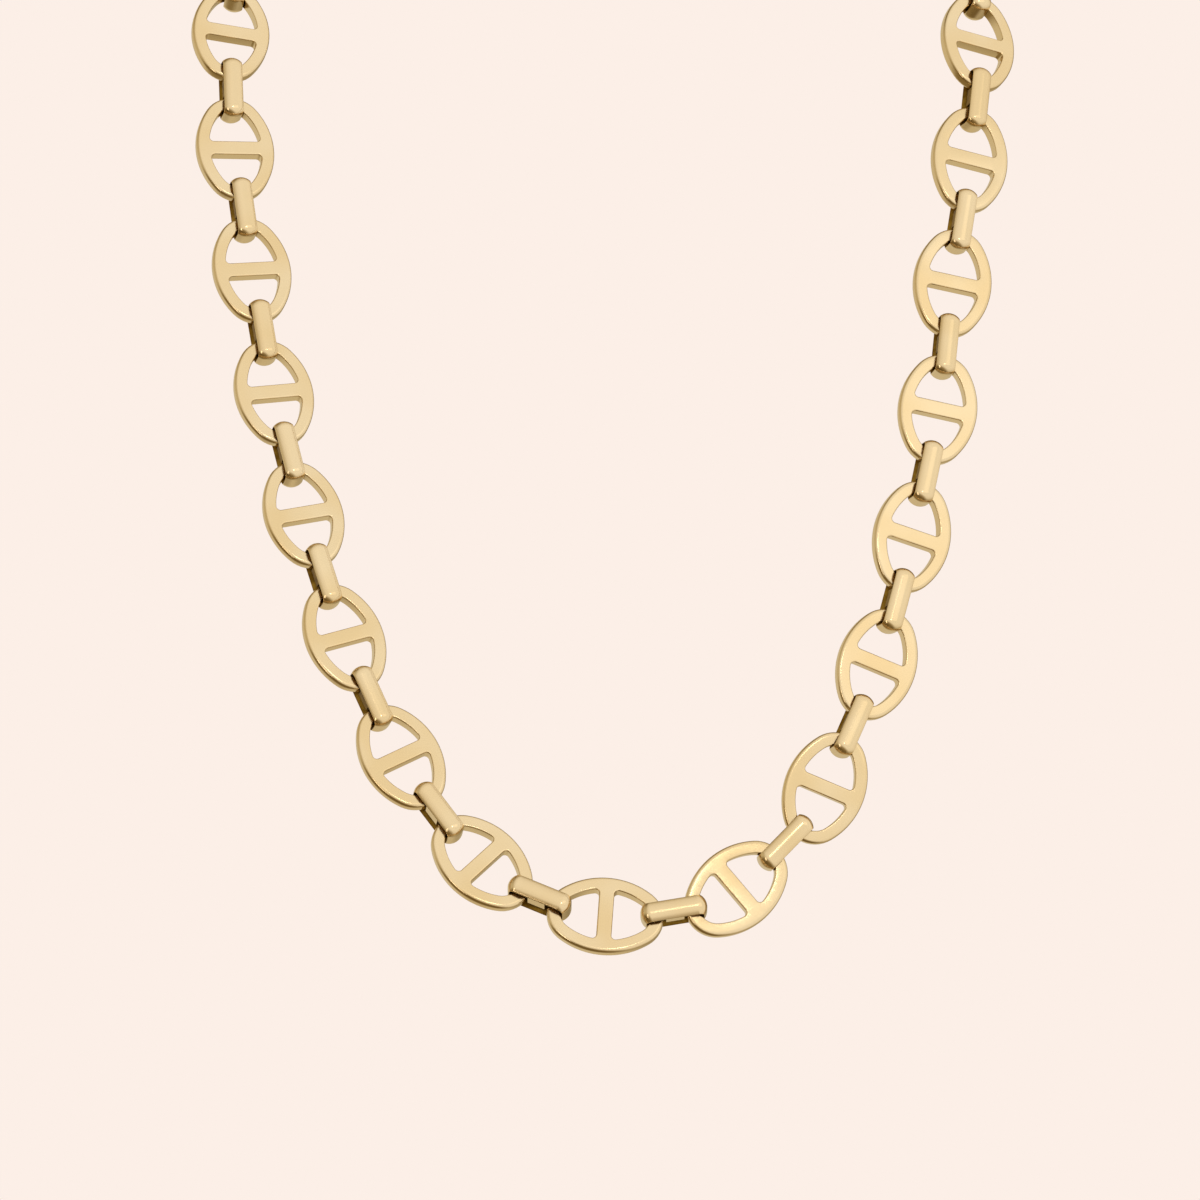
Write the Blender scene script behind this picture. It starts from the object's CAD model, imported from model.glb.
"""The looks of a worn mariner link chain: links, double slot connectors and a clasp."""

import logging
import math
from collections.abc import Callable
from dataclasses import dataclass, field
from enum import Enum

import bmesh
import bpy
import numpy
from mathutils import Matrix, Vector


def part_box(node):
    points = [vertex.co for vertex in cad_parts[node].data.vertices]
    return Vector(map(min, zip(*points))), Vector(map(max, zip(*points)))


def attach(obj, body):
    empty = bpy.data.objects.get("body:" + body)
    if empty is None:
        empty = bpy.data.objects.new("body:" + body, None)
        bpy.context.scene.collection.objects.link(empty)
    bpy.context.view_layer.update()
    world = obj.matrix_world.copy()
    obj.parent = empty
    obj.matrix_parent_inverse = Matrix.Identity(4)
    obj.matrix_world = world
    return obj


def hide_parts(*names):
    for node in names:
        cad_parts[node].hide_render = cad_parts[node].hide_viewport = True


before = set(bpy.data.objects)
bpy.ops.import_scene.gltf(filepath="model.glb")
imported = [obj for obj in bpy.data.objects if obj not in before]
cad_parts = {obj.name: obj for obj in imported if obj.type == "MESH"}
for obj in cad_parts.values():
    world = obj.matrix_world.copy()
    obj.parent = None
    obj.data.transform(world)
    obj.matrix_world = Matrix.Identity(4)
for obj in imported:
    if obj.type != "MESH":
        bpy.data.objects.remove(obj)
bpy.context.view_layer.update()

log = logging.getLogger("chain")

MM = 0.001
BODY = "root"
MERGE_MM = 0.0005
# A face looks along an axis when its normal's share along it is above this
SQUARE_ON = 0.9
# Nearly all values of a noise lie between these
NOISE_LOW, NOISE_HIGH = 0.35, 0.65
# Sockets of a Mix node that mixes colours
MIX_FIRST, MIX_SECOND, MIX_RESULT = 6, 7, 2


class Kind(Enum):
    """The three kinds of piece in the chain."""

    LINK = "mariner_link"
    CONNECTOR = "connector"
    CLASP = "clasp"


class Surface(Enum):
    """The surfaces of a connector, by how well a wheel or wear reaches them."""

    OPEN = 0
    RECESS = 1
    BLOCK = 2


def linear(hex_colour: str, strength: float = 1.0) -> tuple[float, float, float, float]:
    """Turns an sRGB hex colour to Blender's linear colour.

    Args:
        hex_colour: the colour as six hex digits after a hash sign.
        strength: a factor on the linear values.

    Returns:
        Red, green, blue and an alpha of 1.
    """
    values = [int(hex_colour[i:i + 2], 16) / 255 for i in (1, 3, 5)]
    parts = [v / 12.92 if v <= 0.04045 else ((v + 0.055) / 1.055) ** 2.4 for v in values]
    return (parts[0] * strength, parts[1] * strength, parts[2] * strength, 1.0)


def add_node(
    tree: bpy.types.NodeTree,
    kind: str,
    settings: dict[str, object] | None = None,
    values: dict[str | int, object] | None = None,
    links: dict[str | int, bpy.types.NodeSocket] | None = None,
    stops: tuple[tuple[float, str], ...] = (),
) -> bpy.types.Node:
    """Adds one shader node with its settings and links.

    Args:
        tree: the node tree that gets the node.
        kind: the node's type name.
        settings: the node's own properties.
        values: values of its input sockets, by name or number.
        links: output sockets that run into its inputs, by input name or number.
        stops: each stop's position and colour, where the node is a colour ramp.

    Returns:
        The new node.
    """
    node = tree.nodes.new(kind)
    for name, value in (settings or {}).items():
        setattr(node, name, value)
    for name, value in (values or {}).items():
        node.inputs[name].default_value = value
    for name, source in (links or {}).items():
        tree.links.new(source, node.inputs[name])
    for i, (spot, colour) in enumerate(stops):
        elements = node.color_ramp.elements
        element = elements[i] if i < len(elements) else elements.new(spot)
        element.position = spot
        element.color = linear(colour)
    return node


def per_metre(size_mm: float) -> float:
    """How many spots of a size fit in a metre, which is a noise's scale."""
    return 1 / (size_mm * MM)


def blank(name: str) -> tuple[bpy.types.Material, bpy.types.NodeTree, bpy.types.NodeSocket]:
    """Makes an empty material.

    Args:
        name: its name.

    Returns:
        The material, its node tree and the coordinates that its patterns use.
    """
    material = bpy.data.materials.new(name)
    material.use_nodes = True
    tree = material.node_tree
    tree.nodes.clear()
    return material, tree, add_node(tree, "ShaderNodeTexCoord").outputs["Object"]


@dataclass(frozen=True)
class PolishedGoldPlate:
    """Pale yellow gold plated over polished stainless steel.

    The plate is a few microns thick and follows the steel, so the eye sees nearly clear
    reflections, a faint waviness left by the polishing wheel and very fine hairlines
    from wear.
    """

    colour: str = "#F1DBB2"
    colour_worn: str = "#ECD2A2"
    roughness_low: float = 0.17
    roughness_high: float = 0.21
    wave_mm: float = 4.0
    wave_detail: float = 1.0
    wave_deep_mm: float = 0.1
    wave_share: float = 0.22
    hairline_mm: float = 0.3
    hairline_detail: float = 3.0
    hairline_range: tuple[float, float] = (0.3, 0.7)
    hairline_deep_mm: float = 0.01
    hairline_share: float = 0.01
    patch_mm: float = 9.0
    patch_detail: float = 2.0
    colour_soil: str = "#4E3912"
    crevice_mm: float = 0.8
    crevice_range: tuple[float, float] = (0.2, 0.75)
    crevice_samples: int = 8

    def soiled(
        self, tree: bpy.types.NodeTree, tint: bpy.types.NodeSocket,
    ) -> bpy.types.NodeSocket:
        """Darkens the plate where pieces nearly touch, where soil stays when it's wiped.

        Args:
            tree: the node tree that gets the nodes.
            tint: the clean plate's colour.

        Returns:
            The colour with its soiled crevices.
        """
        open_share = add_node(
            tree, "ShaderNodeAmbientOcclusion", {"samples": self.crevice_samples},
            {"Distance": self.crevice_mm * MM},
        )
        dark, clean = self.crevice_range
        wiped = add_node(
            tree, "ShaderNodeMapRange", {"interpolation_type": "SMOOTHSTEP"},
            {"From Min": dark, "From Max": clean}, {"Value": open_share.outputs["AO"]},
        )
        mix = add_node(
            tree, "ShaderNodeMix", {"data_type": "RGBA"},
            {MIX_FIRST: linear(self.colour_soil)},
            {"Factor": wiped.outputs["Result"], MIX_SECOND: tint},
        )
        return mix.outputs[MIX_RESULT]

    def make(self) -> bpy.types.Material:
        """Builds the material.

        Returns:
            The finished material.
        """
        material, tree, place = blank("polished_gold_plate")
        # Thin and thick spots of the plate
        patches = add_node(
            tree, "ShaderNodeTexNoise",
            values={"Scale": per_metre(self.patch_mm), "Detail": self.patch_detail},
            links={"Vector": place},
        )
        tint = add_node(
            tree, "ShaderNodeValToRGB", links={"Fac": patches.outputs["Fac"]},
            stops=((NOISE_LOW, self.colour_worn), (NOISE_HIGH, self.colour)),
        )
        # Hairlines are finer on the real chain, and are drawn coarse enough to show
        hairlines = add_node(
            tree, "ShaderNodeTexNoise",
            values={"Scale": per_metre(self.hairline_mm), "Detail": self.hairline_detail},
            links={"Vector": place},
        )
        faint, deep = self.hairline_range
        gloss = add_node(
            tree, "ShaderNodeMapRange",
            values={
                "From Min": faint, "From Max": deep,
                "To Min": self.roughness_low, "To Max": self.roughness_high,
            },
            links={"Value": hairlines.outputs["Fac"]},
        )
        waves = add_node(
            tree, "ShaderNodeTexNoise",
            values={"Scale": per_metre(self.wave_mm), "Detail": self.wave_detail},
            links={"Vector": place},
        )
        wavy = add_node(
            tree, "ShaderNodeBump",
            values={"Strength": self.wave_share, "Distance": self.wave_deep_mm * MM},
            links={"Height": waves.outputs["Fac"]},
        )
        fine = add_node(
            tree, "ShaderNodeBump",
            values={"Strength": self.hairline_share, "Distance": self.hairline_deep_mm * MM},
            links={"Height": hairlines.outputs["Fac"], "Normal": wavy.outputs["Normal"]},
        )
        shader = add_node(
            tree, "ShaderNodeBsdfPrincipled", values={"Metallic": 1.0},
            links={
                "Base Color": self.soiled(tree, tint.outputs["Color"]),
                "Roughness": gloss.outputs["Result"],
                "Normal": fine.outputs["Normal"],
            },
        )
        add_node(tree, "ShaderNodeOutputMaterial", links={"Surface": shader.outputs["BSDF"]})
        return material


@dataclass(frozen=True)
class UnpolishedGoldPlate:
    """The same plate over steel as it was cast, in recesses that no wheel reaches.

    The grain of the casting scatters light and holds dark polishing soil, so the eye
    sees a deep brown with hardly any reflections.
    """

    colour: str = "#9C7A30"
    colour_soil: str = "#72541A"
    roughness: float = 0.5
    grain_mm: float = 0.25
    grain_detail: float = 2.0
    grain_deep_mm: float = 0.03
    grain_share: float = 0.4
    soil_mm: float = 1.2
    soil_detail: float = 3.0

    def make(self) -> bpy.types.Material:
        """Builds the material.

        Returns:
            The finished material.
        """
        material, tree, place = blank("unpolished_gold_plate")
        soil = add_node(
            tree, "ShaderNodeTexNoise",
            values={"Scale": per_metre(self.soil_mm), "Detail": self.soil_detail},
            links={"Vector": place},
        )
        tint = add_node(
            tree, "ShaderNodeValToRGB", links={"Fac": soil.outputs["Fac"]},
            stops=((NOISE_LOW, self.colour_soil), (NOISE_HIGH, self.colour)),
        )
        grain = add_node(
            tree, "ShaderNodeTexNoise",
            values={"Scale": per_metre(self.grain_mm), "Detail": self.grain_detail},
            links={"Vector": place},
        )
        bump = add_node(
            tree, "ShaderNodeBump",
            values={"Strength": self.grain_share, "Distance": self.grain_deep_mm * MM},
            links={"Height": grain.outputs["Fac"]},
        )
        shader = add_node(
            tree, "ShaderNodeBsdfPrincipled",
            values={"Metallic": 1.0, "Roughness": self.roughness},
            links={"Base Color": tint.outputs["Color"], "Normal": bump.outputs["Normal"]},
        )
        add_node(tree, "ShaderNodeOutputMaterial", links={"Surface": shader.outputs["BSDF"]})
        return material


@dataclass(frozen=True)
class MattPaper:
    """White background paper, uncoated, so it has no gloss, only a faint tooth."""

    colour: str = "#FBF8F4"
    roughness: float = 0.9
    tooth_mm: float = 0.8
    tooth_detail: float = 2.0
    tooth_deep_mm: float = 0.05
    tooth_share: float = 0.1

    def make(self) -> bpy.types.Material:
        """Builds the material.

        Returns:
            The finished material.
        """
        material, tree, place = blank("matt_paper")
        tooth = add_node(
            tree, "ShaderNodeTexNoise",
            values={"Scale": per_metre(self.tooth_mm), "Detail": self.tooth_detail},
            links={"Vector": place},
        )
        bump = add_node(
            tree, "ShaderNodeBump",
            values={"Strength": self.tooth_share, "Distance": self.tooth_deep_mm * MM},
            links={"Height": tooth.outputs["Fac"]},
        )
        shader = add_node(
            tree, "ShaderNodeBsdfPrincipled",
            values={"Base Color": linear(self.colour), "Roughness": self.roughness},
            links={"Normal": bump.outputs["Normal"]},
        )
        add_node(tree, "ShaderNodeOutputMaterial", links={"Surface": shader.outputs["BSDF"]})
        return material


def deselect() -> None:
    """Leaves no object selected."""
    bpy.ops.object.select_all(action="DESELECT")


def settle(name: str) -> bpy.types.Object:
    """Names the primitive just added and moves its place into its mesh.

    Args:
        name: the object's new name.

    Returns:
        The object, at the origin.
    """
    made = bpy.context.active_object
    made.name = made.data.name = name
    bpy.ops.object.transform_apply(location=True, rotation=True, scale=True)
    return made


def pick(
    kind: str, test: Callable[[Vector], bool], also: Callable[..., bool] | None = None,
) -> int:
    """Selects elements of the mesh being edited by their place.

    Args:
        kind: VERT, EDGE or FACE, which is also the select mode that it sets.
        test: says whether the middle of an element, in millimetres, is wanted.
        also: a further test on the element itself.

    Returns:
        How many were selected.
    """
    bpy.ops.mesh.select_mode(type=kind)
    bpy.ops.mesh.select_all(action="DESELECT")
    mesh = bmesh.from_edit_mesh(bpy.context.active_object.data)
    found = 0
    elements = {"VERT": mesh.verts, "EDGE": mesh.edges, "FACE": mesh.faces}[kind]
    for e in elements:
        if kind == "VERT":
            middle = e.co
        else:
            middle = sum((v.co for v in e.verts), Vector()) / len(e.verts)
        if test(middle) and (also is None or also(e)):
            e.select_set(True)
            found += 1
    mesh.select_flush_mode()
    bmesh.update_edit_mesh(bpy.context.active_object.data)
    return found


def pull(x: float = 0.0, y: float = 0.0, z: float = 0.0) -> None:
    """Extrudes the selection and moves the new end by x, y, z."""
    bpy.ops.mesh.extrude_region_move(TRANSFORM_OT_translate={"value": (x, y, z)})


def turn(
    steps: int, degrees: float, centre: tuple[float, float, float],
    axis: tuple[float, float, float] = (0, 0, 1),
) -> None:
    """Spins the selection about an axis.

    Args:
        steps: how many stretches the arc gets.
        degrees: the arc, counted anticlockwise about the axis.
        centre: the arc's centre in millimetres.
        axis: the axis that it turns about.
    """
    bpy.ops.mesh.spin(
        steps=steps, angle=-math.radians(degrees), center=centre, axis=axis,
        use_auto_merge=False,
    )


def close_up() -> None:
    """Merges doubled vertices and points every face outwards."""
    bpy.ops.mesh.select_all(action="SELECT")
    bpy.ops.mesh.remove_doubles(threshold=MERGE_MM)
    bpy.ops.mesh.select_all(action="SELECT")
    bpy.ops.mesh.normals_make_consistent(inside=False)


def smooth(piece: bpy.types.Object, degrees: float) -> None:
    """Shades a piece smooth, with flat faces kept flat beside their rounded edges.

    Args:
        piece: the piece, which is the active object.
        degrees: edges sharper than this stay crisp.
    """
    bpy.ops.object.shade_smooth_by_angle(angle=math.radians(degrees))
    even = piece.modifiers.new("even_faces", "WEIGHTED_NORMAL")
    even.keep_sharp = True
    bpy.ops.object.modifier_apply(modifier=even.name)


@dataclass
class BandShape:
    """A link's flat band, as the four arcs of its outline and the rounding of its edges."""

    length: float = 14.6
    width: float = 10.2
    thick: float = 1.6
    tip_r: float = 4.0
    band: float = 1.65
    edge_r: float = 0.5
    hole_edge_r: float = 0.2

    @property
    def tip_x(self) -> float:
        """How far a tip's arc is centred from the middle."""
        return self.length / 2 - self.tip_r

    @property
    def side_r(self) -> float:
        """Radius of a side's arc."""
        return (self.tip_x ** 2 + (self.width / 2) ** 2 - self.tip_r ** 2) / (
            self.width - 2 * self.tip_r
        )

    @property
    def side_y(self) -> float:
        """How far a side's arc is centred past the long axis."""
        return self.side_r - self.width / 2

    @property
    def meet(self) -> float:
        """The direction in degrees in which tip and side arcs meet."""
        return math.degrees(math.atan2(self.side_y, self.tip_x))


@dataclass
class MarinerLink:
    """A flat oval plate with rounded edges, two holes and a bar across the middle."""

    shape: BandShape = field(default_factory=BandShape)
    bar: float = 1.9
    corner_r: float = 0.5
    tip_steps: int = 14
    side_steps: int = 12
    corner_steps: int = 8
    edge_steps: int = 5
    hole_edge_steps: int = 3
    crisp_degrees: float = 40.0

    def start_point(self, x: float) -> None:
        """Puts one vertex on the long axis, where an outline starts.

        Args:
            x: its distance from the middle.
        """
        bpy.ops.mesh.primitive_plane_add(size=1, location=(x - 0.5, 0.5, 0))
        others = [Vector(c) for c in ((x - 1, 0, 0), (x - 1, 1, 0), (x, 1, 0))]
        pick("VERT", lambda p: min((p - c).length for c in others) < MERGE_MM)
        bpy.ops.mesh.delete(type="VERT")
        pick("VERT", lambda p: (p - Vector((x, 0, 0))).length < MERGE_MM)

    def outline(self) -> None:
        """Spins the first vertex through the four arcs of the outer edge."""
        s = self.shape
        side = 180 - 2 * s.meet
        turn(self.tip_steps // 2, s.meet, (s.tip_x, 0, 0))
        turn(2 * self.side_steps, side, (0, -s.side_y, 0))
        turn(self.tip_steps, 2 * s.meet, (-s.tip_x, 0, 0))
        turn(2 * self.side_steps, side, (0, s.side_y, 0))
        turn(self.tip_steps // 2, s.meet, (s.tip_x, 0, 0))

    def hole(self) -> None:
        """Spins and extrudes a vertex round the edge of the right hand hole."""
        s = self.shape
        inner = s.side_r - s.band
        corner_x = self.bar / 2 + self.corner_r
        lean = math.degrees(math.asin(corner_x / (inner - self.corner_r)))
        corner_y = (inner - self.corner_r) * math.cos(math.radians(lean)) - s.side_y
        turn(self.tip_steps // 2, s.meet, (s.tip_x, 0, 0))
        turn(self.side_steps, 90 - lean - s.meet, (0, -s.side_y, 0))
        turn(self.corner_steps, 90 + lean, (corner_x, corner_y, 0))
        pull(y=-2 * corner_y)
        turn(self.corner_steps, 90 + lean, (corner_x, -corner_y, 0))
        turn(self.side_steps, 90 - lean - s.meet, (0, s.side_y, 0))
        turn(self.tip_steps // 2, s.meet, (s.tip_x, 0, 0))

    def build(self) -> bpy.types.Object:
        """Models one link about the origin, in millimetres.

        Returns:
            The finished link.
        """
        s = self.shape
        deselect()
        bpy.ops.mesh.primitive_plane_add(size=1)
        link = settle(Kind.LINK.value)
        bpy.ops.object.mode_set(mode="EDIT")
        bpy.ops.mesh.select_all(action="SELECT")
        bpy.ops.mesh.delete(type="VERT")
        self.start_point(s.tip_x + s.tip_r)
        self.outline()
        self.start_point(s.tip_x + s.tip_r - s.band)
        self.hole()
        pick("VERT", lambda p: p.x > 0, lambda v: not self.on_outline(v.co))
        bpy.ops.mesh.duplicate()
        bpy.ops.transform.resize(value=(-1, 1, 1), center_override=(0, 0, 0))
        bpy.ops.mesh.select_all(action="SELECT")
        bpy.ops.mesh.remove_doubles(threshold=MERGE_MM)
        bpy.ops.mesh.select_all(action="SELECT")
        bpy.ops.mesh.fill(use_beauty=True)
        bpy.ops.mesh.select_all(action="SELECT")
        bpy.ops.transform.translate(value=(0, 0, -s.thick / 2))
        pull(z=s.thick)
        close_up()
        self.round_edges(True)
        self.round_edges(False)
        bpy.ops.object.mode_set(mode="OBJECT")
        smooth(link, self.crisp_degrees)
        return link

    def on_outline(self, p: Vector) -> bool:
        """Whether a point lies on the outer edge rather than on a hole's."""
        s = self.shape
        if abs(p.x) > s.tip_x + s.tip_r * math.cos(math.radians(s.meet)):
            away = math.hypot(abs(p.x) - s.tip_x, p.y)
            return away > s.tip_r - s.band / 2
        return math.hypot(p.x, abs(p.y) + s.side_y) > s.side_r - s.band / 2

    def round_edges(self, outer: bool) -> None:
        """Rounds the edges of both faces along the outline or round the holes.

        Args:
            outer: True for the outline, False for the holes.
        """
        s = self.shape

        def rim(edge: bmesh.types.BMEdge) -> bool:
            """Whether an edge parts a flat face from a wall."""
            flat = [abs(f.normal.z) > SQUARE_ON for f in edge.link_faces]
            return len(flat) == 2 and flat[0] != flat[1]

        pick(
            "EDGE",
            lambda p: abs(abs(p.z) - s.thick / 2) < MERGE_MM and self.on_outline(p) == outer,
            rim,
        )
        bpy.ops.mesh.bevel(
            offset=s.edge_r if outer else s.hole_edge_r,
            segments=self.edge_steps if outer else self.hole_edge_steps,
            profile=0.5, affect="EDGES", clamp_overlap=False,
        )


@dataclass
class Connector:
    """A domed strip bent round into a flat loop, with a bridge that makes two slots."""

    strip_w: float = 2.5
    strip_t: float = 0.95
    crown_h: float = 0.5
    belly_h: float = 0.35
    bend_r: float = 0.3
    loop_x: float = 2.951
    slot_h: float = 2.2
    bridge_len: float = 2.3
    bridge_inset: float = 0.15
    foot_w: float = 1.4
    foot_h: float = 0.9
    foot_share: float = 0.98
    crown_steps: int = 96
    bend_steps: int = 10
    worn_edge: float = 0.04
    bridge_edge: float = 0.09
    edge_steps: int = 3
    crisp_degrees: float = 32.0
    block_side: float = 0.5
    turned_in: float = -0.1

    def slice_of(self, rise: float, top: bool) -> bpy.types.Object:
        """Cuts a disc to the outer or the inner part of the strip's section.

        Args:
            rise: how far the disc's arc rises past the strip's side edges.
            top: True for the domed outside, False for the bulging inside.

        Returns:
            The object that holds the part as one face.
        """
        half = self.strip_w / 2
        radius = (half ** 2 + rise ** 2) / (2 * rise)
        inner = self.slot_h / 2
        split = inner + (self.belly_h + self.strip_t - self.crown_h) / 2
        centre_z = inner + self.strip_t - radius if top else inner + radius
        deselect()
        bpy.ops.mesh.primitive_circle_add(
            vertices=self.crown_steps, radius=radius, fill_type="NGON",
            location=(-self.loop_x, 0, centre_z), rotation=(0, math.radians(90), 0),
        )
        made = settle(Kind.CONNECTOR.value)
        bpy.ops.object.mode_set(mode="EDIT")
        for point, normal in (
            ((0, 0, split), (0, 0, -1 if top else 1)),
            ((0, half, 0), (0, 1, 0)),
            ((0, -half, 0), (0, -1, 0)),
        ):
            bpy.ops.mesh.select_all(action="SELECT")
            bpy.ops.mesh.bisect(plane_co=point, plane_no=normal, clear_outer=True)
        bpy.ops.object.mode_set(mode="OBJECT")
        return made

    def section(self) -> bpy.types.Object:
        """Joins the two parts of the strip's section and wears down its four corners.

        Returns:
            The object that holds the section as one face.
        """
        made = self.slice_of(self.crown_h, True)
        under = self.slice_of(self.belly_h, False)
        deselect()
        for part in (under, made):
            part.select_set(True)
        bpy.context.view_layer.objects.active = made
        bpy.ops.object.join()
        bpy.ops.object.mode_set(mode="EDIT")
        bpy.ops.mesh.select_all(action="SELECT")
        bpy.ops.mesh.remove_doubles(threshold=MERGE_MM)
        bpy.ops.mesh.select_mode(type="FACE")
        bpy.ops.mesh.select_all(action="SELECT")
        bpy.ops.mesh.dissolve_faces()
        low = self.slot_h / 2 + self.belly_h
        high = self.slot_h / 2 + self.strip_t - self.crown_h
        pick("VERT", lambda p: low + self.worn_edge < p.z < high - self.worn_edge)
        bpy.ops.mesh.dissolve_verts()
        pick("VERT", lambda p: abs(abs(p.y) - self.strip_w / 2) < MERGE_MM)
        bpy.ops.mesh.bevel(
            offset=self.worn_edge, segments=self.edge_steps, affect="VERTICES",
            clamp_overlap=False,
        )
        return made

    def bend(self) -> None:
        """Carries the section round the loop and closes it."""
        x, z = self.loop_x, self.slot_h / 2 - self.bend_r
        bpy.ops.mesh.select_all(action="SELECT")
        for side in (1, -1):
            pull(x=side * 2 * x)
            turn(self.bend_steps, 90, (side * x, 0, side * z), (0, 1, 0))
            pull(z=-side * 2 * z)
            turn(self.bend_steps, 90, (side * x, 0, -side * z), (0, 1, 0))
        pick(
            "FACE", lambda p: abs(p.x + x) < MERGE_MM and p.z > self.slot_h / 2,
            lambda f: abs(f.normal.x) > SQUARE_ON,
        )
        bpy.ops.mesh.delete(type="FACE")
        close_up()

    def bridge(self) -> bpy.types.Object:
        """Models the bridge: a block under the front strip on a narrower foot.

        Returns:
            The bridge.
        """
        top = self.slot_h / 2 + self.belly_h
        floor = self.foot_h - self.slot_h / 2
        block_w = self.strip_w - 2 * self.bridge_inset
        deselect()
        bpy.ops.mesh.primitive_cube_add(
            size=1, location=(0, 0, (top + floor) / 2),
            scale=(self.bridge_len, block_w, top - floor),
        )
        made = settle("bridge")
        bpy.ops.object.mode_set(mode="EDIT")
        pick("FACE", lambda p: p.z < floor + MERGE_MM)
        pull()
        bpy.ops.transform.resize(
            value=(self.foot_share, self.foot_w / block_w, 1), center_override=(0, 0, floor),
        )
        pull(z=-self.foot_h - self.belly_h)
        bpy.ops.mesh.select_all(action="SELECT")
        bpy.ops.mesh.bevel(
            offset=self.bridge_edge, segments=self.edge_steps, profile=0.5, affect="EDGES",
            clamp_overlap=True,
        )
        close_up()
        bpy.ops.object.mode_set(mode="OBJECT")
        return made

    def build(self) -> bpy.types.Object:
        """Models one connector about the origin, in millimetres.

        Returns:
            The finished connector.
        """
        deselect()
        made = self.section()
        self.bend()
        bpy.ops.object.mode_set(mode="OBJECT")
        bridge = self.bridge()
        deselect()
        bridge.select_set(True)
        made.select_set(True)
        bpy.context.view_layer.objects.active = made
        bpy.ops.object.join()
        smooth(made, self.crisp_degrees)
        for face in made.data.polygons:
            face.material_index = self.surface_of(face.center, face.normal).value
        return made

    def surface_of(self, p: Vector, n: Vector) -> Surface:
        """Says how well the polishing wheel and wear reach a face.

        Args:
            p: the face's middle in millimetres.
            n: its normal.

        Returns:
            The kind of surface.
        """
        inner = self.slot_h / 2
        if abs(p.x) < self.bridge_len / 2 + MERGE_MM and abs(p.z) < inner:
            on_block = p.z > self.foot_h - inner
            beside = abs(n.y) > self.block_side
            return Surface.BLOCK if on_block and beside else Surface.RECESS
        loop_z = inner - self.bend_r
        out = Vector((
            p.x - max(-self.loop_x, min(self.loop_x, p.x)), 0,
            p.z - max(-loop_z, min(loop_z, p.z)),
        ))
        inside = n.dot(out.normalized()) < self.turned_in
        return Surface.RECESS if inside else Surface.OPEN


@dataclass
class Clasp:
    """A plain closed clasp: an eye at each end, a thicker body and a thumb bar."""

    shape: BandShape = field(default_factory=BandShape)
    thick: float = 2.6
    body_len: float = 5.2
    body_w: float = 8.4
    thumb_len: float = 2.8
    thumb_w: float = 1.4
    thumb_flat: float = 0.05
    eye_steps: int = 64
    edge_steps: int = 5
    hole_edge_steps: int = 3
    thumb_steps: int = 32
    round_steps: int = 8
    crisp_degrees: float = 32.0

    def eye(self, end: int) -> bpy.types.Object:
        """Spins the band's section into the ring at one end.

        Args:
            end: 1 for the right hand end, -1 for the left.

        Returns:
            The ring.
        """
        s = self.shape
        deselect()
        bpy.ops.mesh.primitive_plane_add(
            size=1, rotation=(math.radians(90), 0, 0),
            location=(end * s.tip_x + s.tip_r - s.band / 2, 0, 0),
        )
        bpy.context.active_object.scale = (s.band, s.thick, 1)
        made = settle("eye")
        bpy.ops.object.mode_set(mode="EDIT")
        middle = end * s.tip_x + s.tip_r - s.band / 2
        for outer, radius, steps in (
            (True, s.edge_r, self.edge_steps), (False, s.hole_edge_r, self.hole_edge_steps),
        ):
            pick("VERT", lambda p, outer=outer: (
                (p.x > middle) == outer and abs(abs(p.z) - s.thick / 2) < MERGE_MM
                and abs(abs(p.x - middle) - s.band / 2) < MERGE_MM
            ))
            bpy.ops.mesh.bevel(
                offset=radius, segments=steps, affect="VERTICES", clamp_overlap=False,
            )
        bpy.ops.mesh.select_all(action="SELECT")
        turn(self.eye_steps, 360, (end * s.tip_x, 0, 0))
        pick("FACE", lambda p: abs(p.y) < MERGE_MM and p.x > middle - s.band,
             lambda f: abs(f.normal.y) > SQUARE_ON)
        bpy.ops.mesh.delete(type="FACE")
        close_up()
        bpy.ops.object.mode_set(mode="OBJECT")
        return made

    def body(self) -> bpy.types.Object:
        """Models the body, a block whose four sides are fully rounded.

        Returns:
            The body.
        """
        deselect()
        bpy.ops.mesh.primitive_cube_add(
            size=1, scale=(self.body_len, self.body_w, self.thick),
        )
        made = settle("body")
        bpy.ops.object.mode_set(mode="EDIT")
        pick("EDGE", lambda p: abs(abs(p.z) - self.thick / 2) < MERGE_MM)
        bpy.ops.mesh.bevel(
            offset=self.thick / 2 - MERGE_MM, segments=self.round_steps, profile=0.5,
            affect="EDGES", clamp_overlap=False,
        )
        close_up()
        bpy.ops.object.mode_set(mode="OBJECT")
        return made

    def thumb_bar(self) -> bpy.types.Object:
        """Models the thumb bar, a short rod with round ends.

        Returns:
            The thumb bar.
        """
        deselect()
        bpy.ops.mesh.primitive_cylinder_add(
            vertices=self.thumb_steps, radius=self.thumb_w / 2, depth=self.thumb_len,
            location=(0, 0, self.thick / 2), rotation=(0, math.radians(90), 0),
        )
        made = settle("thumb_bar")
        bpy.ops.object.mode_set(mode="EDIT")
        pick("FACE", lambda p: abs(abs(p.x) - self.thumb_len / 2) < MERGE_MM)
        bpy.ops.mesh.bevel(
            offset=self.thumb_w / 2 - self.thumb_flat, segments=self.round_steps, profile=0.5,
            affect="EDGES", clamp_overlap=False,
        )
        close_up()
        bpy.ops.object.mode_set(mode="OBJECT")
        return made

    def build(self) -> bpy.types.Object:
        """Models the clasp about the origin, in millimetres.

        Returns:
            The finished clasp.
        """
        parts = [self.eye(1), self.eye(-1), self.thumb_bar(), self.body()]
        made = parts[-1]
        made.name = made.data.name = Kind.CLASP.value
        deselect()
        for part in parts:
            part.select_set(True)
        bpy.context.view_layer.objects.active = made
        bpy.ops.object.join()
        smooth(made, self.crisp_degrees)
        return made


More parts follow.
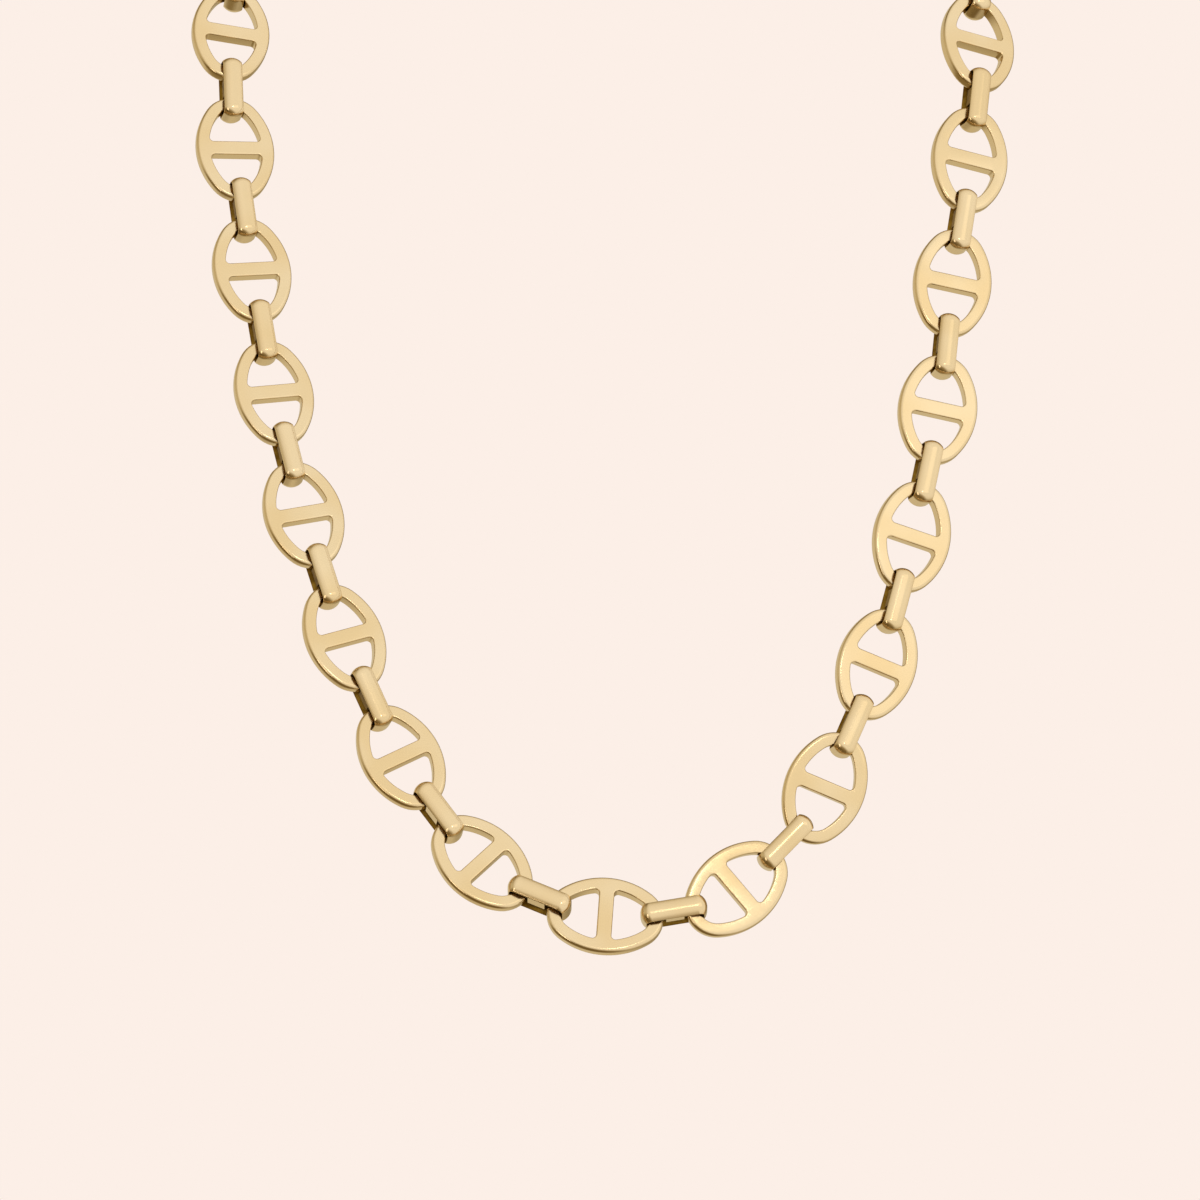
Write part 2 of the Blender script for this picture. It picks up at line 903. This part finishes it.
@dataclass
class Seat:
    """Where a CAD piece sits: its middle, its direction along the chain and its front."""

    middle: Vector
    along: Vector
    front: Vector

    def matrix(self) -> Matrix:
        """The move from a piece about the origin in millimetres to its place in metres."""
        side = self.front.cross(self.along)
        turned = Matrix((self.along, side, self.front)).transposed().to_4x4()
        return Matrix.Translation(self.middle) @ turned @ Matrix.Scale(MM, 4)


def moments(mesh: bpy.types.Mesh) -> tuple[Vector, list[Vector]]:
    """Finds a solid's centroid and principal axes from its triangles.

    Args:
        mesh: a closed mesh, whose triangles may be loose.

    Returns:
        The centroid, and the axes in order from the longest spread to the shortest.
    """
    mesh.calc_loop_triangles()
    points = numpy.array([v.co[:] for v in mesh.vertices])
    corners = points[numpy.array([t.vertices[:] for t in mesh.loop_triangles])]
    origin = points.mean(axis=0)
    a, b, c = (corners[:, i] - origin for i in range(3))
    volume = numpy.einsum("ij,ij->i", a, numpy.cross(b, c)) / 6
    total = volume.sum()
    centroid = ((a + b + c) / 4 * volume[:, None]).sum(axis=0) / total
    spread = numpy.zeros((3, 3))
    s = a + b + c
    for p in (a, b, c, s):
        spread += numpy.einsum("i,ij,ik->jk", volume / 20, p, p)
    spread = spread / total - numpy.outer(centroid, centroid)
    values, axes = numpy.linalg.eigh(spread)
    order = values.argsort()[::-1]
    return Vector(centroid + origin), [Vector(axes[:, i]) for i in order]


def reach(mesh: bpy.types.Mesh, axis: Vector) -> tuple[float, float]:
    """How far a mesh reaches along an axis, lowest and highest."""
    along = [v.co.dot(axis) for v in mesh.vertices]
    return min(along), max(along)


def seat_of(node: bpy.types.Object, kind: Kind, ahead: Vector, facing: Vector) -> Seat:
    """Works out where a CAD piece sits, from its mesh.

    Args:
        node: the CAD piece.
        kind: what it is.
        ahead: roughly the direction along the chain.
        facing: the front direction of the piece before it.

    Returns:
        Its seat.
    """
    mesh = node.data
    centroid, axes = moments(mesh)
    along = axes[0] if axes[0].dot(ahead) > 0 else -axes[0]
    front = axes[2] if kind is not Kind.CONNECTOR else axes[1]
    middle = Vector()
    for axis in axes:
        low, high = reach(mesh, axis)
        middle += axis * (low + high) / 2
    if kind is Kind.LINK:
        front = front if front.dot(facing) > 0 else -front
    elif kind is Kind.CONNECTOR:
        front = front if front.dot(centroid - middle) > 0 else -front
    else:
        # The thumb bar stands out on the front, so the middle of the body is nearer
        # the back than the middle of the piece.
        back = 1 if (centroid - middle).dot(front) > 0 else -1
        front = -back * front
        low, _ = reach(mesh, front)
        middle += front * (low + Clasp.thick / 2 * MM - middle.dot(front))
    return Seat(middle, along, front)


@dataclass
class Chain:
    """The whole chain: every CAD piece is replaced by a modelled one in its place."""

    finish: PolishedGoldPlate = field(default_factory=PolishedGoldPlate)
    recess: UnpolishedGoldPlate = field(default_factory=UnpolishedGoldPlate)
    rubbed_below_mm: float = -125.0
    gold: bpy.types.Material = field(init=False)
    dull: bpy.types.Material = field(init=False)

    def kind_of(self, name: str) -> Kind:
        """The kind of piece that a node's name gives."""
        return next(k for k in Kind if name.startswith(k.value))

    def order(self) -> list[str]:
        """The nodes' names in their order along the chain."""
        links = sorted(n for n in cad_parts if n.startswith(Kind.LINK.value))
        joins = sorted(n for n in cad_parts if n.startswith(Kind.CONNECTOR.value))
        half = len(joins) // 2
        beads = links[:half] + [Kind.CLASP.value] + links[half:]
        return [name for pair in zip(beads, joins) for name in pair]

    def place(self, name: str, model: bpy.types.Object, seat: Seat) -> bpy.types.Object:
        """Copies a model to a node's place and dresses it.

        Args:
            name: the node that the copy stands for.
            model: the modelled piece in millimetres.
            seat: where the node sits.

        Returns:
            The placed piece.
        """
        piece = model.copy()
        piece.data = model.data.copy()
        piece.name = piece.data.name = f"gold_{name}"
        bpy.context.collection.objects.link(piece)
        piece.data.transform(seat.matrix())
        piece.data.materials.append(self.gold)
        if name.startswith(Kind.CONNECTOR.value):
            # The lowest connectors rub most in wear, which keeps their bridges bright
            rubbed = seat.middle.z < self.rubbed_below_mm * MM
            piece.data.materials.append(self.dull)
            piece.data.materials.append(self.gold if rubbed else self.dull)
        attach(piece, BODY)
        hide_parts(name)
        return piece

    def build(self) -> None:
        """Models each kind of piece once and sets the copies in their places."""
        self.gold = self.finish.make()
        self.dull = self.recess.make()
        models = {
            Kind.LINK: MarinerLink().build(),
            Kind.CONNECTOR: Connector().build(),
            Kind.CLASP: Clasp().build(),
        }
        names = self.order()
        middles = {n: sum(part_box(n), Vector()) / 2 for n in names}
        facing = Vector((0, -1, 0))
        for i, name in enumerate(names):
            ahead = middles[names[(i + 1) % len(names)]] - middles[names[i - 1]]
            kind = self.kind_of(name)
            seat = seat_of(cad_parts[name], kind, ahead, facing)
            facing = seat.front
            self.place(name, models[kind], seat)
            log.info("%s placed at %s mm", name, [round(c / MM, 1) for c in seat.middle])
        for model in models.values():
            bpy.data.objects.remove(model)


@dataclass(frozen=True)
class Lamp:
    """A soft rectangular lamp: its place and size in metres and its power in watts."""

    name: str
    place: tuple[float, float, float]
    size: tuple[float, float]
    power: float
    colour: str = "#FFF4E6"
    aim: tuple[float, float, float] = (0, -0.05, -0.08)

    def hang(self) -> None:
        """Adds the lamp to the scene, looking at the chain."""
        data = bpy.data.lights.new(self.name, "AREA")
        data.shape, data.energy = "RECTANGLE", self.power
        data.size, data.size_y = self.size
        data.color = linear(self.colour)[:3]
        lamp = bpy.data.objects.new(self.name, data)
        lamp.location = self.place
        way = Vector(self.aim) - Vector(self.place)
        lamp.rotation_euler = way.to_track_quat("-Z", "Y").to_euler()
        bpy.context.collection.objects.link(lamp)


@dataclass
class Studio:
    """Plain pale floor, soft light and the camera at the photograph's angle."""

    field_mm: float = 147.6
    away_mm: float = 1007.4
    sensor_mm: float = 36.0
    camera_mm: tuple[float, float, float] = (-3.11, -1109.4, -101.87)
    camera_reach: tuple[float, float] = (0.05, 20)
    floor_z_mm: float = -300.0
    floor_r_mm: float = 1450.0
    floor_steps: int = 96
    paper: MattPaper = field(default_factory=MattPaper)
    backdrop: str = "#FCEFE7"
    bright_side: tuple[float, float, float] = (0.6, -0.65, 0.35)
    bright_stops: tuple[tuple[float, str], ...] = (
        (0.0, "#D8CFB8"), (0.19, "#CFC4A8"), (0.29, "#8A7A58"), (0.38, "#5E4E2E"),
        (0.46, "#9A8C70"), (0.55, "#D2C8B4"), (0.68, "#EFE9DF"), (0.88, "#FDF9F2"),
        (1.0, "#F8F5EE"),
    )
    under_side: tuple[float, float, float] = (0, 0, -1)
    under_stops: tuple[tuple[float, str], ...] = (
        (0.51, "#000000"), (0.6, "#8C8068"), (0.75, "#A39678"), (0.95, "#B5A98F"),
    )
    left_side: tuple[float, float, float] = (-1.0, -0.25, 0.2)
    left_stops: tuple[tuple[float, str], ...] = (
        (0.78, "#000000"), (0.86, "#B0A284"), (1.0, "#CFC4A8"),
    )
    shaded_side: tuple[float, float, float] = (-0.55, -0.35, -0.75)
    shade_stops: tuple[tuple[float, str], ...] = (
        (0.74, "#FFFFFF"), (0.88, "#A59676"), (1.0, "#A59676"),
    )
    lamps: tuple[Lamp, ...] = (
        Lamp("key_lamp", (0.68, -0.92, 0.4), (0.7, 0.6), 0.3),
        Lamp("edge_lamp", (-0.6, -0.9, -0.25), (0.12, 0.5), 0.5),
        Lamp("spot_lamp", (0.15, -1.15, 0.35), (0.12, 0.12), 0.36),
    )

    def add_camera(self) -> None:
        """Sets the camera level, far off on a long lens."""
        data = bpy.data.cameras.new("camera")
        data.sensor_width = self.sensor_mm
        data.lens = self.sensor_mm * self.away_mm / self.field_mm
        data.clip_start, data.clip_end = self.camera_reach
        camera = bpy.data.objects.new("camera", data)
        camera.location = [c * MM for c in self.camera_mm]
        camera.rotation_euler = (math.radians(90), 0, 0)
        bpy.context.collection.objects.link(camera)
        bpy.context.scene.camera = camera

    def add_floor(self) -> None:
        """Lays a round sheet of paper under the chain."""
        deselect()
        bpy.ops.mesh.primitive_circle_add(
            vertices=self.floor_steps, radius=self.floor_r_mm * MM, fill_type="NGON",
            location=(0, 0, self.floor_z_mm * MM),
        )
        floor = settle("floor")
        floor.data.materials.append(self.paper.make())
        floor.visible_glossy = False

    def glow(
        self, tree: bpy.types.NodeTree, side: tuple[float, float, float],
        stops: tuple[tuple[float, str], ...],
    ) -> bpy.types.NodeSocket:
        """Colours the room by how far a direction points to one side.

        Args:
            tree: the node tree that gets the nodes.
            side: the side, of any length.
            stops: colours from 0 for straight away to 1 for straight towards it.

        Returns:
            The colour.
        """
        way = add_node(tree, "ShaderNodeTexCoord").outputs["Generated"]
        toward = add_node(
            tree, "ShaderNodeVectorMath", {"operation": "DOT_PRODUCT"},
            {1: Vector(side).normalized()}, {0: way},
        )
        share = add_node(
            tree, "ShaderNodeMapRange", values={"From Min": -1.0, "From Max": 1.0},
            links={"Value": toward.outputs["Value"]},
        )
        ramp = add_node(
            tree, "ShaderNodeValToRGB", links={"Fac": share.outputs["Result"]}, stops=stops,
        )
        return ramp.outputs["Color"]

    def add_surroundings(self) -> None:
        """Makes the room: peach to the eye, and a soft fall off round it to the metal."""
        world = bpy.data.worlds.new("room")
        bpy.context.scene.world = world
        world.use_nodes = True
        tree = world.node_tree
        tree.nodes.clear()
        lit = self.glow(tree, self.bright_side, self.bright_stops)
        for blend, side, stops in (
            ("LIGHTEN", self.under_side, self.under_stops),
            ("LIGHTEN", self.left_side, self.left_stops),
            ("MULTIPLY", self.shaded_side, self.shade_stops),
        ):
            lit = add_node(
                tree, "ShaderNodeMix", {"data_type": "RGBA", "blend_type": blend},
                {"Factor": 1.0}, {MIX_FIRST: lit, MIX_SECOND: self.glow(tree, side, stops)},
            ).outputs[MIX_RESULT]
        room = add_node(tree, "ShaderNodeBackground", links={"Color": lit})
        backdrop = add_node(
            tree, "ShaderNodeBackground", values={"Color": linear(self.backdrop)},
        )
        # The paper, the only matt thing here, is lit by the same even peach as is seen
        path = add_node(tree, "ShaderNodeLightPath")
        seen = add_node(
            tree, "ShaderNodeMath", {"operation": "MAXIMUM"},
            links={0: path.outputs["Is Camera Ray"], 1: path.outputs["Is Diffuse Ray"]},
        )
        both = add_node(
            tree, "ShaderNodeMixShader",
            links={
                "Fac": seen.outputs["Value"],
                1: room.outputs["Background"], 2: backdrop.outputs["Background"],
            },
        )
        add_node(tree, "ShaderNodeOutputWorld", links={"Surface": both.outputs["Shader"]})

    def build(self) -> None:
        """Sets up camera, floor, room and lamps."""
        self.add_camera()
        self.add_floor()
        self.add_surroundings()
        for lamp in self.lamps:
            lamp.hang()
        bpy.context.scene.view_settings.view_transform = "Standard"


def main() -> None:
    """Builds the scene and notes its size beside that of the CAD."""
    logging.basicConfig(level=logging.INFO, format="%(name)s: %(message)s")
    Studio().build()
    Chain().build()


if __name__ == "__main__":
    main()
